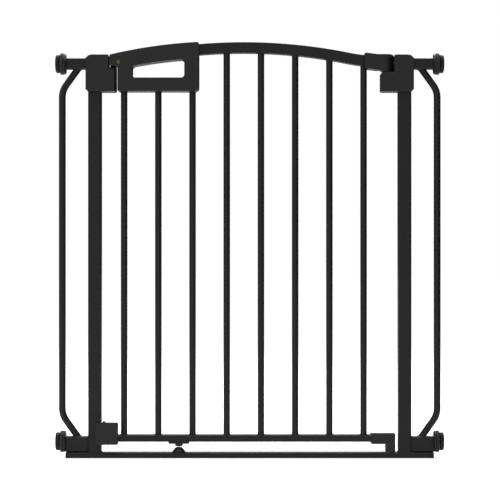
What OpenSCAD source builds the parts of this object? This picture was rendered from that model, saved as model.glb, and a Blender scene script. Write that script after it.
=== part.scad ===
// Pressure-fit safety gate: a steel frame that stands between two walls, held by four screw-out pads,
// with a barred door that is hung on the right, latches on the left and opens away from the front.
// X runs across the doorway, Y through it with the front at -Y, Z up, and the floor is at Z = 0.

/* [Heights] */
// Height of the upper wall spindles above the floor
upper_arm_z = 739.5; // [700:1:780]
// Height of the lower wall spindles above the floor
lower_arm_z = 30.3; // [29:0.5:34]

/* [Floor rail] */
// Length of the floor rail, which is the gate's width between its thumb nuts
floor_rail_l = 690; // [660:5:760]
// Height of the floor rail
floor_rail_h = 10; // [9:0.5:11]
// Depth of the floor rail, through the doorway
floor_rail_d = 30; // [26:1:40]
// Corner radius of the floor rail
floor_rail_r = 3; // [2.5:0.5:4]

/* [Posts] */
// Width of a post across the doorway
post_w = 24.8; // [22:0.1:26]
// Depth of a post through the doorway
post_d = 25; // [22:0.5:28]
// Corner radius of a post
post_r = 3.5; // [2.5:0.5:5]
// Wall of the frame's box tubes
tube_wall = 1.5; // [1:0.1:2]

/* [Arms and bows] */
// How far an arm reaches from the side of its post
arm_l = 41.9; // [38:0.1:60]
// Height of an upper arm
upper_arm_h = 20.5; // [18:0.5:22]
// Height of a lower arm
lower_arm_h = 29; // [26:0.5:31]
// Depth of an arm through the doorway
arm_d = 21; // [18:0.5:24]
// Gap between a lower arm and the floor rail
arm_gap = 0.8; // [0.4:0.1:1.5]
// Radius of the round bow tube at each side
bow_r = 6.45; // [5:0.05:7]
// Wall of the round tubes
round_wall = 1.2; // [0.8:0.1:1.6]
// How far the bow's middle stands out past the arm's end
bow_out = 7.3; // [4:0.1:9]
// Radius of the bow's bends, at the middle of the tube
bow_bend_r = 38; // [25:1:45]
// Lean of the bow's ends from the vertical, in degrees
bow_lean = 35.75; // [30:0.25:40]
// Height of a bow's bend from the arm that it runs to
bow_bend_rise = 40; // [36:0.5:46]

/* [Wall spindles] */
// Radius of the threaded spindle
spindle_r = 5; // [4:0.1:6]
// How far a spindle winds out
spindle_travel = 30; // [20:1:34]
// Outer radius of the thumb nut
nut_r = 20.4; // [18:0.1:21]
// Thickness of the thumb nut
nut_t = 11; // [9:0.5:13]
// Outer radius of the rubber wall pad
pad_r = 17.2; // [15:0.1:18.5]
// Thickness of the rubber wall pad
pad_t = 7.5; // [6.5:0.5:10]
// Gap between nut and pad with the spindle wound in
pad_gap = 1; // [0.5:0.1:2]
// Length of the plastic bush in an arm's end
bush_l = 14; // [12:0.5:18]

/* [Post housings] */
// Depth of the two housings through the doorway
housing_d = 36; // [34:1:39]
// How far a housing reaches above the upper spindles
housing_up = 16.3; // [13:0.1:18]
// How far a housing reaches below the upper spindles
housing_down = 53; // [50:0.5:60]
// How far a housing stands out past the outer side of its post
housing_out = 4.1; // [3.5:0.1:6]
// Thickness of a housing over the top of its post
housing_cap = 4; // [3:0.1:5]
// Distance from the left post to the striker's face
striker_face = 14; // [12:0.1:15]
// Distance from the left post to the end of the striker's tab
striker_tab = 25.3; // [23:0.1:27]
// Top of the striker's tab, below the upper spindles
striker_tab_drop = 10.5; // [9:0.1:14]
// Gap between the nose and the striker's tab behind the parting line, where the tab is higher
striker_lip_gap = 1.8; // [1.5:0.1:3]
// How much further the striker's tab reaches into the doorway behind the parting line
striker_lip_out = 1.8; // [0:0.1:2.2]
// Distance from the right post to the hinge bracket's face
bracket_face = 7.6; // [6.8:0.1:8.6]
// Distance from the right post to the end of the hinge bracket's tab
bracket_tab = 32.6; // [30:0.1:35]
// Top of the hinge bracket's tab, below the upper spindles
bracket_tab_drop = 17; // [15:0.1:22]

/* [Hinge] */
// Distance from the right post to the hinge's axis
hinge_inset = 17.3; // [17.1:0.1:18.1]
// Radius of the two hinge pins
pin_r = 4; // [3:0.1:4.2]
// Thickness of the nylon hinge washers
washer_t = 1.4; // [1:0.1:2]
// Radius of the nylon hinge washers
washer_r = 7.4; // [6.5:0.1:8]
// Radius of the knuckle behind the hinge's axis
knuckle_r = 8; // [7:0.1:8.4]
// Depth of the door's upper hinge piece
hinge_piece_d = 32; // [28:1:34]
// Height of the upper hinge piece's knuckle
knuckle_h = 32.7; // [28:0.1:34]
// Gap between the round barrel inside the upper hinge piece and the bracket
barrel_gap = 0.4; // [0.3:0.05:1]
// Distance from the hinge's axis to the hinge piece's far end
hinge_piece_l = 45.7; // [43:0.1:50]
// Radius of the closing spring's coil, at the middle of the wire
hinge_spring_r = 6.6; // [6:0.1:7]
// Radius of the closing spring's wire
hinge_spring_wire = 0.8; // [0.5:0.1:1]

/* [Door] */
// Distance from the left post to the middle of the first bar
first_bar_inset = 42.2; // [40:0.1:45]
// Distance from the right post to the middle of the last bar
last_bar_inset = 64.3; // [63:0.1:67]
// Radius of the door's bars
bar_r = 6.2; // [5:0.1:7]
// Height of the door's bottom rail
door_rail_h = 13; // [11:0.5:14]
// Depth of the door's bottom rail
door_rail_d = 20; // [18:0.5:21]
// Underside of the door's bottom rail above the floor
door_rail_z = 30.1; // [29:0.1:34]
// Gap between the end of the door's bottom rail and the lower hinge pin
door_rail_to_pin = 7; // [6:0.1:9]
// Gap between the left post and the end of the door's bottom rail
door_rail_gap = 10.3; // [9.2:0.1:13]
// Radius of the arch's crest, at the middle of the tube
arch_r = 990; // [900:10:1100]
// Radius of the arch's two end bends, at the middle of the tube
arch_end_r = 310; // [280:5:340]
// Height of the arch's level ends above the upper spindles
arch_end_rise = 4.2; // [3:0.1:6]
// Height and depth of the arch's square tube
arch_tube = 20; // [18:0.5:21]
// Distance past the outer bars at which the arch has come level
arch_level = 32.6; // [30:0.1:34]
// Distance from the handle's left side to the end of the arch
arch_inset = 4.5; // [4:0.1:6]
// Distance from the hinge's axis to the end of the arch
arch_to_hinge = 21; // [19:0.1:23]

/* [Lower corner piece] */
// Distance from the hinge's axis to the corner piece's far end
corner_l = 34.2; // [31:0.1:38]
// Distance from the hinge's axis to the corner piece's outer side
corner_out = 12; // [10:0.1:12.6]
// Distance from the hinge's axis to the inner side of the corner piece's leg
corner_leg = 6.2; // [5.8:0.1:8]
// Depth of the corner piece
corner_d = 24; // [23:0.5:25]
// Wall of the corner piece above the door's bottom rail
corner_wall = 2.4; // [2:0.1:4]
// Thickness of the corner piece under the door's bottom rail
corner_floor = 4; // [3:0.1:5]

/* [Handle] */
// Distance from the left post to the handle's left side
handle_inset = 30.8; // [30.1:0.1:35]
// Length of the handle
handle_l = 152.5; // [146:0.5:156]
// Depth of the handle through the doorway
handle_d = 37; // [34:0.5:39]
// Underside of the handle, below the upper spindles
handle_drop = 52.3; // [48:0.1:56]
// Wall of the handle's shells
shell_wall = 2.5; // [2:0.1:3]
// Radius of the handle's curved top
handle_top_r = 920; // [880:10:960]
// Height of the handle's top over the arch's tube, at the thumb slide
handle_cover_left = 7; // [6:0.1:8]
// Height of the handle's top over the arch's tube, at the handle's right side
handle_cover_right = 3.4; // [2:0.1:5]
// Gap between the first bar and the hand hole
hole_left = 9.7; // [9:0.1:13]
// Gap between the third bar and the hand hole
hole_right = 8.8; // [8.8:0.1:13]
// Height of the grip bar under the hand hole
grip_h = 25.4; // [23:0.1:28]
// Height of the strip over the hand hole
strip_h = 30.1; // [29.8:0.1:33]
// Corner radius of the hand hole
hole_r = 6; // [4:0.5:8]
// Length of the nose that meets the striker
nose_l = 15; // [14:0.1:15.5]
// Underside of the nose, below the upper spindles
nose_drop = 5.1; // [4.8:0.1:5.4]

/* [Latch] */
// Height of the latch bolt's middle above the upper spindles
bolt_rise = 5.5; // [5.2:0.1:5.8]
// Height of the latch bolt
bolt_h = 8; // [6:0.5:8]
// Width of the latch bolt
bolt_w = 10; // [8:0.5:12]
// Length of the latch bolt
bolt_l = 49.3; // [47:0.1:50]
// How far the bolt is thrown
bolt_throw = 9; // [6:0.5:10]
// Length of the thumb slide's pad
slide_l = 27; // [22:1:28]
// How far the thumb slide's pad reaches past its stem, towards the hinge
slide_reach = 8; // [5:0.5:9]
// Width of the thumb slide's pad
slide_w = 13.6; // [11:0.1:15]
// Radius of the latch spring's coil, at the middle of the wire
latch_spring_r = 2.5; // [2:0.1:2.6]
// Radius of the latch spring's wire
latch_spring_wire = 0.4; // [0.3:0.05:0.5]
// Length of the latch spring with the bolt drawn back
latch_spring_l = 13; // [11:0.5:15]
// Radius of the cross pin that the latch spring pushes on
spring_pin_r = 2; // [1.5:0.1:2.2]

/* [Indicator] */
// Width of the indicator window
window_w = 5.4; // [4.5:0.1:6]
// Height of the indicator window
window_h = 7.2; // [6:0.1:8]
// Distance from the handle's left side to the window's middle
window_x = 1.3; // [1:0.1:1.6]
// Height of the window's middle above the upper spindles
window_rise = 2.3; // [2:0.1:2.6]
// How far the flag slides
flag_travel = 8; // [7:0.5:9]
// Thickness of the flag
flag_t = 1.4; // [1:0.1:1.8]
// Gap between the flag's plunger and the striker with the door shut
plunger_gap = 1; // [0.5:0.1:1.5]
// Depth of the flag's plunger
plunger_w = 3; // [2:0.1:3.5]
// Height of the flag's plunger
plunger_h = 6; // [5:0.5:7]

/* [Catch and stops] */
// Reach of the lower catch over the doorway, from the left post
catch_in = 32.1; // [28:0.1:34]
// Reach of the lower catch over the front of the post
catch_out = 10.7; // [6:0.1:12]
// Underside of the lower catch above the floor
catch_z = 25.4; // [23:0.1:26.5]
// Height of the lower catch
catch_h = 41.6; // [36:0.1:46]
// Thickness of the catch's front plate
catch_plate = 5.8; // [4:0.1:6.5]
// Gap between the catch's block and the end of the door's bottom rail
catch_gap = 3.5; // [3:0.1:4]
// Reach of the catch's block behind the middle of the post
catch_depth = 10; // [8:0.5:12]
// Thickness of the catch's two flanges
catch_flange = 3; // [2:0.1:3.4]
// Width of the finger on top of the catch
finger_w = 5; // [4:0.1:7]
// Height of the finger on top of the catch
finger_h = 2.6; // [2:0.1:4]
// Thickness of the rubber buffer behind the front plate
buffer_t = 2.2; // [1.6:0.1:2.3]
// Distance from the first bar to the middle of the floor stop
stop_x = 102.9; // [95:0.1:108]
// Radius of the floor stop's base
stop_r = 12.2; // [9:0.1:14]
// Height of the floor stop
stop_h = 9.5; // [8:0.1:10]
// Gap between the floor stop and the door's stop nub
stop_gap = 1.6; // [1:0.1:2.5]
// Radius of the nub under the door
nub_r = 7.5; // [6:0.1:9]
// Length of the plate that carries the nub
stop_plate_l = 39; // [32:1:46]
// Thickness of the plate that carries the nub
stop_plate_t = 3.8; // [3:0.1:4.5]

/* [Fits] */
// Running clearance of the hinge pins and the nuts, on the radius
run_fit = 0.06; // [0.02:0.01:0.1]
// Clearance round pieces that are fixed together
seat_fit = 0.1; // [0.05:0.01:0.15]
// Clearance round pieces that slide
slide_fit = 0.3; // [0.2:0.05:0.4]
// Radius of the housings' screws
screw_r = 1.5; // [1.2:0.1:1.8]

/* [Hidden] */
$fn = 64;
arc_steps = 6;                                   // straight stretches in a rounded corner
crest_steps = 12;                                // and along half of the arch's crest
end_steps = 10;                                  // and along each of its end bends
bar_count = 8;

steel = "#2a2a2a";
plastic = "#2e2e2e";
rubber = "#1c1c1c";
zinc = "#b4b4b4";
nylon = "#d8d4c8";

over = 1;                                        // how far a cut runs past the face that it opens
pin_seat = 0.02;                                 // clearance round a pin that is pressed in
screw_fit = 0.05;                                // clearance round a screw's thread
head_fit = 0.2;                                  // clearance round a screw's head and shank
arm_end = floor_rail_l / 2;
post_out = arm_end - arm_l;
post_mid = post_out - post_w / 2;
post_in = post_out - post_w;                     // inner side of a post
post_top = upper_arm_z + housing_up - housing_cap;
lower_arm_bottom = floor_rail_h + arm_gap;
lower_arm_top = lower_arm_bottom + lower_arm_h;
lower_arm_mid = lower_arm_bottom + lower_arm_h / 2;
upper_arm_bottom = upper_arm_z - upper_arm_h / 2;
arm_corner_r = 3;
plug_l = 12;                                     // of the plugs in the ends of the tubes
bow_bend_top = upper_arm_bottom - bow_bend_rise;
bow_bend_low = lower_arm_top + bow_bend_rise;
bow_lap = 0.5;                                   // how far the bow's straight stretches run into its bends
bow_swell = 0.04;                                // how much rounder the tube is in its bends

pad_in = arm_end + nut_t + pad_gap;              // side of the pad that faces the nut
pad_out = pad_in + pad_t;
spindle_head_t = 2.4;                            // disc on the spindle that the pad is moulded round
spindle_head_r = 11;
pad_back = 2;                                    // rubber between the spindle's head and the nut
spindle_grip = bush_l - 2.5;                     // length left in the bush with the spindle wound out
spindle_in = max(post_out + over, arm_end - spindle_grip - spindle_travel);

hinge_x = post_in - hinge_inset;
end_clear = 0.02;                                // room at the arch's ends, in degrees of their bends
housing_top = upper_arm_z + housing_up;
housing_bottom = upper_arm_z - housing_down;
bracket_tab_top = upper_arm_z - bracket_tab_drop;
striker_tab_top = upper_arm_z - striker_tab_drop;
screw_head_r = 2.8;
screw_head_h = 2;
screw_bite = 9;                                  // how far a screw reaches into the front shell

first_bar_x = first_bar_inset - post_in;
last_bar_x = post_in - last_bar_inset;
bar_pitch = (last_bar_x - first_bar_x) / (bar_count - 1);
door_mid = (first_bar_x + last_bar_x) / 2;
door_rail_left = door_rail_gap - post_in;
door_rail_right = hinge_x - pin_r - door_rail_to_pin;
door_rail_top = door_rail_z + door_rail_h;
door_rail_mid = door_rail_z + door_rail_h / 2;
door_rail_corner_r = 2;
function bar_x(i) = first_bar_x + (i - 1) * bar_pitch;

// The arch is a crest arc with a reverse arc at each end, all tangent
arch_end_z = upper_arm_z + arch_end_rise;
arch_half = (last_bar_x - first_bar_x) / 2 + arch_level;
arch_sweep = asin(arch_half / (arch_r + arch_end_r));
arch_rise = (arch_r + arch_end_r) * (1 - cos(arch_sweep));
arch_centre_z = arch_end_z + arch_rise - arch_r;
arch_end_centre_z = arch_end_z + arch_end_r;
arch_left = handle_inset - post_in + arch_inset;
arch_right = hinge_x - arch_to_hinge;
arch_crest_half = arch_r * sin(arch_sweep);
function arch_mid_z(x) = abs(x - door_mid) <= arch_crest_half
    ? arch_centre_z + sqrt(pow(arch_r, 2) - pow(x - door_mid, 2))
    : arch_end_centre_z - sqrt(pow(arch_end_r, 2) - pow(arch_half - abs(x - door_mid), 2));
arch_top = arch_end_z + arch_rise + arch_tube / 2;

handle_left = handle_inset - post_in;
handle_right = handle_left + handle_l;
handle_bottom = upper_arm_z - handle_drop;
nose_left = handle_left - nose_l;
nose_bottom = upper_arm_z - nose_drop;

bolt_z = upper_arm_z + bolt_rise;
bolt_tip = nose_left + 0.2;                      // just inside the nose
bolt_tail = bolt_tip + bolt_l;
stem_l = 10;
stem_w = 4.8;
stem_right = bolt_tail - 2;
slide_right = stem_right + slide_reach;

// The handle's top is an arc that stands over the arch by its covers at these two places
cover_left_at = [
    slide_right - slide_l / 2,
    arch_mid_z(slide_right - slide_l / 2) + arch_tube / 2 + handle_cover_left
];
cover_right_at = [handle_right, arch_mid_z(handle_right) + arch_tube / 2 + handle_cover_right];
cover_chord = cover_right_at - cover_left_at;
handle_top_centre = (cover_left_at + cover_right_at) / 2
    + [cover_chord.y, -cover_chord.x] / norm(cover_chord)
    * sqrt(pow(handle_top_r, 2) - pow(norm(cover_chord) / 2, 2));
function handle_top_z(x) =
    handle_top_centre.y + sqrt(pow(handle_top_r, 2) - pow(x - handle_top_centre.x, 2));

hole_x0 = first_bar_x + bar_r + hole_left;
hole_x1 = first_bar_x + 2 * bar_pitch - bar_r - hole_right;
hole_bottom = handle_bottom + grip_h;
grip_top = hole_bottom - shell_wall;             // inside of the grip
front_y = -handle_d / 2;
spring_pin_x = bolt_tail + latch_spring_l + spring_pin_r;
spring_z = bolt_z + 1.4;                         // the spring lies high, clear of the tube's floor

window_mid = handle_left + window_x;
window_z = upper_arm_z + window_rise;
flag_y = front_y + shell_wall + slide_fit;

stop_mid = first_bar_x + stop_x;
nub_tip = floor_rail_h + stop_h + stop_gap;

// ---- helpers -----------------------------------------------------------------------------------------

// The corner at b between a and c, rounded to radius r
function round_corner(a, b, c, r) =
    let (
        u = (a - b) / norm(a - b),
        v = (c - b) / norm(c - b),
        half = acos(u * v) / 2,
        centre = b + (u + v) / norm(u + v) * r / sin(half),
        p = b + u * r / tan(half) - centre,
        q = b + v * r / tan(half) - centre,
        start = atan2(p.y, p.x),
        swing = atan2(q.y, q.x) - start,
        turn = swing > 180 ? swing - 360 : swing < -180 ? swing + 360 : swing
    )
    [
        for (i = [0:arc_steps])
            let (a = start + turn * i / arc_steps)
            centre + r * [cos(a), sin(a)]
    ];

// A closed outline from corners given as [x, y, radius]
function outline(corners) =
    let (n = len(corners))
    [
        for (i = [0:n - 1])
            let (
                a = corners[(i + n - 1) % n],
                b = corners[i],
                c = corners[(i + 1) % n]
            )
            each (b[2] == 0 ? [[b.x, b.y]] : round_corner([a.x, a.y], [b.x, b.y], [c.x, c.y], b[2]))
    ];

module round_rect(w, h, r) {
    square([w - 2 * r, h], center = true);
    square([w, h - 2 * r], center = true);
    for (x = [-1, 1], y = [-1, 1])
        translate([x * (w / 2 - r), y * (h / 2 - r)])
            circle(r);
}

module box_tube(w, h, r, wall) {
    difference() {
        round_rect(w, h, r);
        round_rect(w - 2 * wall, h - 2 * wall, max(r - wall, 0.5));
    }
}

// Extrudes a front view, drawn as [x, z], from y0 back to y1
module slab(y0, y1) {
    translate([0, y1, 0])
        rotate([90, 0, 0])
            linear_extrude(y1 - y0)
                children();
}

// Extrudes a section, drawn as [y, z], along X from x0 to x1
module beam(x0, x1) {
    translate([x0, 0, 0])
        rotate([90, 0, 90])
            linear_extrude(x1 - x0)
                children();
}

module block(x0, x1, y0, y1, z0, z1) {
    translate([x0, y0, z0])
        cube([x1 - x0, y1 - y0, z1 - z0]);
}

// A cut from x0 to x1, d deep about y and h high about z
module opening(x0, x1, y, d, z, h) {
    block(x0, x1, y - d / 2, y + d / 2, z - h / 2, z + h / 2);
}

// A rod along Y from y0 to y1
module rod_y(r, x, z, y0, y1) {
    translate([x, y1, z])
        rotate([90, 0, 0])
            cylinder(r = r, h = y1 - y0);
}

// A body of revolution about the X axis, drawn as [x, radius], with its bore left open
module turned_x() {
    rotate([0, 90, 0])
        rotate_extrude()
            rotate(90)
                mirror([0, 1])
                    children();
}

// A helical wire along Z, which starts at Z = 0
module coil(r, wire, turns, pitch, sides = 8, steps = 14) {
    rings = turns * steps;
    points = [
        for (i = [0:rings], j = [0:sides - 1])
            let (a = 360 * i / steps, b = 360 * j / sides, d = r + wire * cos(b))
            [d * cos(a), d * sin(a), wire + pitch * i / steps + wire * sin(b)]
    ];
    walls = [
        for (i = [0:rings - 1], j = [0:sides - 1])
            let (a = i * sides, b = (i + 1) * sides, k = (j + 1) % sides)
            [a + j, b + j, b + k, a + k]
    ];
    first = [for (j = [0:sides - 1]) j];
    last = [for (j = [sides - 1:-1:0]) rings * sides + j];
    polyhedron(points, concat([first], walls, [last]));
}

// A screw along Y with its head at the rear, at y1
module rear_screw(x, z, y0, y1) {
    rod_y(screw_r, x, z, y0, y1 - screw_head_h);
    rod_y(screw_head_r, x, z, y1 - screw_head_h, y1);
}

module rear_screw_hole(x, z, y0, y1) {
    rod_y(screw_r + screw_fit, x, z, y0 - head_fit, 0);
    rod_y(screw_r + head_fit, x, z, 0, y1);
    rod_y(screw_head_r + head_fit, x, z, y1 - screw_head_h, y1 + over);
}

// ---- frame -------------------------------------------------------------------------------------------

module floor_rail() {
    color(steel)
        difference() {
            beam(-floor_rail_l / 2, floor_rail_l / 2)
                translate([0, floor_rail_h / 2])
                    box_tube(floor_rail_d, floor_rail_h, floor_rail_r, tube_wall);
            translate([hinge_x, 0, floor_rail_h / 2])
                cylinder(r = pin_r + pin_seat, h = floor_rail_h);
        }
}

module floor_rail_plugs() {
    inner = tube_wall + seat_fit;
    color(plastic)
        for (side = [0, 1])
            mirror([side, 0, 0])
                beam(floor_rail_l / 2 - plug_l, floor_rail_l / 2)
                    translate([0, floor_rail_h / 2])
                        round_rect(floor_rail_d - 2 * inner, floor_rail_h - 2 * inner, floor_rail_r - inner);
}

module post(x) {
    color(steel)
        translate([x, 0, floor_rail_h])
            linear_extrude(post_top - floor_rail_h)
                box_tube(post_w, post_d, post_r, tube_wall);
}
module left_post() { post(-post_mid); }
module right_post() { post(post_mid); }

module arm_pair(z, h) {
    color(steel)
        for (side = [0, 1])
            mirror([side, 0, 0])
                beam(post_out, arm_end)
                    translate([0, z])
                        box_tube(arm_d, h, arm_corner_r, tube_wall);
}
module upper_arms() { arm_pair(upper_arm_z, upper_arm_h); }
module lower_arms() { arm_pair(lower_arm_mid, lower_arm_h); }

// Half of the right-hand bow, from its middle up to z_bend and over towards the arm; the straight
// stretches run a little way into the bend, so that they join it
module bow_half(r, z_mid, z_bend) {
    z_start = z_bend - bow_bend_r * tan(bow_lean / 2);
    x = arm_end + bow_out;
    translate([x, 0, z_mid])
        cylinder(r = r, h = z_start + bow_lap - z_mid);
    translate([x - bow_bend_r, 0, z_start])
        rotate([90, 0, 0]) {
            rotate_extrude(angle = bow_lean)
                translate([bow_bend_r, 0])
                    circle(r + bow_swell);
            rotate([0, 0, bow_lean])
                translate([bow_bend_r, -bow_lap, 0])
                    rotate([-90, 0, 0])
                        cylinder(r = r, h = bow_bend_rise * 2);
        }
}

// The whole right-hand bow as a round bar of radius r, longer than the bow at both ends
module bow_bar(r) {
    z_mid = (bow_bend_top + bow_bend_low) / 2;
    bow_half(r, z_mid, bow_bend_top);
    translate([0, 0, 2 * z_mid])
        mirror([0, 0, 1])
            bow_half(r, z_mid, 2 * z_mid - bow_bend_low);
}

module bow() {
    reach = 3 * bow_bend_rise;
    difference() {
        bow_bar(bow_r);
        bow_bar(bow_r - round_wall);
        block(0, pad_out, -post_d, post_d, upper_arm_bottom, upper_arm_bottom + reach);
        block(0, pad_out, -post_d, post_d, lower_arm_top - reach, lower_arm_top);
    }
}

module side_bows() {
    color(steel)
        for (side = [0, 1])
            mirror([side, 0, 0])
                bow();
}

module arm_bush(z, mid_z, h) {
    inner = tube_wall + seat_fit;
    difference() {
        beam(arm_end - bush_l, arm_end)
            translate([0, mid_z])
                round_rect(arm_d - 2 * inner, h - 2 * inner, arm_corner_r - inner);
        translate([arm_end - bush_l - over, 0, z])
            rotate([0, 90, 0])
                cylinder(r = spindle_r + slide_fit, h = bush_l + 2 * over);
    }
}

module arm_bushes() {
    color(plastic)
        for (side = [0, 1])
            mirror([side, 0, 0]) {
                arm_bush(upper_arm_z, upper_arm_z, upper_arm_h);
                arm_bush(lower_arm_z, lower_arm_mid, lower_arm_h);
            }
}

// ---- housings on the posts ---------------------------------------------------------------------------

// The front view of a right-hand housing: a block round the post's top with a tab into the doorway
function housing_corners(face, tab, tab_top) =
    let (out = post_out + housing_out)
    [
        [post_in - tab, housing_bottom, 3.5],
        [out - 4.2, housing_bottom, 1.5],
        [out, housing_bottom + 4.6, 1.5],
        [out, housing_top - 6.4, 2],
        [out - 5.6, housing_top - 1.2, 3],
        [out - 11, housing_top, 4],
        [post_in - face, housing_top, 2.5],
        [post_in - face, tab_top, 0.8],
        [post_in - tab, tab_top, 3.5],
    ];

// One shell of a right-hand housing, from y0 to y1, cut for its post, its arm and its screws
module housing_shell(face, tab, tab_top, y0, y1, screws) {
    difference() {
        slab(y0, y1)
            polygon(outline(housing_corners(face, tab, tab_top)));
        translate([post_mid, 0, housing_bottom - over])
            linear_extrude(post_top + slide_fit - housing_bottom + over)
                round_rect(post_w + 2 * seat_fit, post_d + 2 * seat_fit, post_r + seat_fit);
        beam(post_out - over, arm_end)
            translate([0, upper_arm_z])
                round_rect(arm_d + 2 * seat_fit, upper_arm_h + 2 * seat_fit, arm_corner_r + seat_fit);
        for (at = screws)
            rear_screw_hole(at.x, at.y, -screw_bite, housing_d / 2);
    }
}

// Places of the screws in the right-hand view, as [x, z]
striker_screw_x = post_in - striker_face / 2;
striker_screw_at = [[striker_screw_x, housing_bottom + 12], [striker_screw_x, striker_tab_top - 8]];
bracket_screw_x = post_in - bracket_face / 2;
bracket_screw_at = [[bracket_screw_x, housing_bottom + 10], [bracket_screw_x, housing_top - 10]];

// The lower part of the bracket holds the upper pin and, round it, the closing spring
hinge_pin_bottom = housing_bottom + 6;
hinge_spring_z = housing_bottom + 12;
hinge_spring_turns = 6;
hinge_spring_pitch = 2 * hinge_spring_wire + 0.2;
hinge_spring_h = hinge_spring_turns * hinge_spring_pitch + 2 * hinge_spring_wire;
hinge_spring_cavity = hinge_spring_r + hinge_spring_wire + 0.5;

module striker_shell(y0, y1, tab, tab_top) {
    color(plastic)
        difference() {
            mirror([1, 0, 0])
                housing_shell(striker_face, tab, tab_top, y0, y1, striker_screw_at);
            // Pocket that the latch bolt is thrown into
            opening(bolt_tip - bolt_throw - 2, striker_face - post_in + over, 0, bolt_w + 2 * slide_fit,
                bolt_z, bolt_h + 2 * slide_fit);
        }
}
module striker_front() { striker_shell(-housing_d / 2, 0, striker_tab, striker_tab_top); }
module striker_rear() {
    striker_shell(0, housing_d / 2, striker_tab + striker_lip_out, nose_bottom - striker_lip_gap);
}

module bracket_shell(y0, y1) {
    color(plastic)
        difference() {
            housing_shell(bracket_face, bracket_tab, bracket_tab_top, y0, y1, bracket_screw_at);
            translate([hinge_x, 0, hinge_pin_bottom])
                cylinder(r = pin_r + pin_seat, h = knuckle_h * 2);
            translate([hinge_x, 0, hinge_spring_z])
                cylinder(r = hinge_spring_cavity, h = hinge_spring_h + 2 * slide_fit);
        }
}
module bracket_front() { bracket_shell(-housing_d / 2, 0); }
module bracket_rear() { bracket_shell(0, housing_d / 2); }

module housing_screws(places) {
    color(zinc)
        for (at = places)
            rear_screw(at.x, at.y, -screw_bite, housing_d / 2);
}
module striker_screws() {
    mirror([1, 0, 0])
        housing_screws(striker_screw_at);
}
module bracket_screws() { housing_screws(bracket_screw_at); }

// ---- hinge -------------------------------------------------------------------------------------------

knuckle_bottom = bracket_tab_top + washer_t;
knuckle_top = knuckle_bottom + knuckle_h;
corner_bottom = floor_rail_h + washer_t;
barrel_r = hinge_inset - bracket_face - barrel_gap;
upper_pin_top = knuckle_top - 6.5;
lower_pin_top = door_rail_top - 4;
pin_head_room = 0.6;                             // over the end of a pin, in its bore

module upper_hinge_pin() {
    color(zinc)
        translate([hinge_x, 0, hinge_pin_bottom])
            cylinder(r = pin_r, h = upper_pin_top - hinge_pin_bottom);
}

module lower_hinge_pin() {
    color(zinc)
        translate([hinge_x, 0, tube_wall])
            cylinder(r = pin_r, h = lower_pin_top - tube_wall);
}

module hinge_spring() {
    color(zinc)
        translate([hinge_x, 0, hinge_spring_z + slide_fit])
            coil(hinge_spring_r, hinge_spring_wire, hinge_spring_turns, hinge_spring_pitch);
}

module hinge_washers() {
    color(nylon)
        for (z = [floor_rail_h, bracket_tab_top])
            translate([hinge_x, 0, z])
                difference() {
                    cylinder(r = washer_r, h = washer_t);
                    translate([0, 0, -over])
                        cylinder(r = pin_r + seat_fit, h = washer_t + 2 * over);
                }
}

// ---- lower catch and floor stop ----------------------------------------------------------------------

catch_back = -post_d / 2 - seat_fit;             // rear of the front plate, just clear of the post
catch_left = -post_in - catch_out;
catch_right = catch_in - post_in;
catch_top = catch_z + catch_h;
catch_foot = door_rail_left - catch_gap;         // right side of the block on the post
catch_screw_z = [door_rail_top + 5, catch_top - 9];
catch_screw_in = catch_foot + post_in - screw_head_h - head_fit;    // from the post to the screw's head

module lower_catch() {
    block_left = seat_fit - post_in;
    block_top = catch_top - 2;
    flange_right = catch_right - 3;
    finger_x = catch_left + 14;
    color(plastic)
        difference() {
            union() {
                slab(catch_back - catch_plate, catch_back)
                    polygon(outline([
                        [catch_left, catch_z, 3], [catch_right, catch_z, 3], [catch_right, catch_top, 3.5],
                        [finger_x + finger_w, catch_top, 0.5],
                        [finger_x + finger_w, catch_top + finger_h, 1],
                        [finger_x, catch_top + finger_h, 1],
                        [finger_x, catch_top, 0.5],
                        [catch_left, catch_top, 3],
                    ]));
                block(block_left, catch_foot, catch_back - over, catch_depth, catch_z, block_top);
                for (z = [catch_z, block_top - catch_flange])
                    block(block_left, flange_right, catch_back - over, catch_depth, z, z + catch_flange);
            }
            for (z = catch_screw_z)
                translate([-post_in, 0, z])
                    rotate([0, 90, 0]) {
                        translate([0, 0, -over])
                            cylinder(r = screw_r + head_fit, h = catch_foot + post_in + 2 * over);
                        translate([0, 0, catch_screw_in])
                            cylinder(r = screw_head_r + head_fit, h = screw_head_h + over);
                    }
        }
}

module catch_screws() {
    color(zinc)
        for (z = catch_screw_z)
            translate([-post_in, 0, z])
                rotate([0, 90, 0]) {
                    cylinder(r = screw_r, h = catch_screw_in);
                    translate([0, 0, catch_screw_in])
                        cylinder(r = screw_head_r, h = screw_head_h);
                }
}

module catch_buffer() {
    color(rubber)
        block(door_rail_left + 2, catch_right - 4, catch_back, catch_back + buffer_t,
            door_rail_z, door_rail_top);
}

module floor_stop() {
    color(plastic)
        translate([stop_mid, 0, floor_rail_h])
            rotate_extrude()
                polygon([
                    [0, 0], [stop_r, 0], [stop_r, 2.2], [stop_r - 1.2, 3.4],
                    [stop_r - 5.6, stop_h - 1], [stop_r - 6.6, stop_h], [0, stop_h],
                ]);
}

// ---- door --------------------------------------------------------------------------------------------

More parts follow.
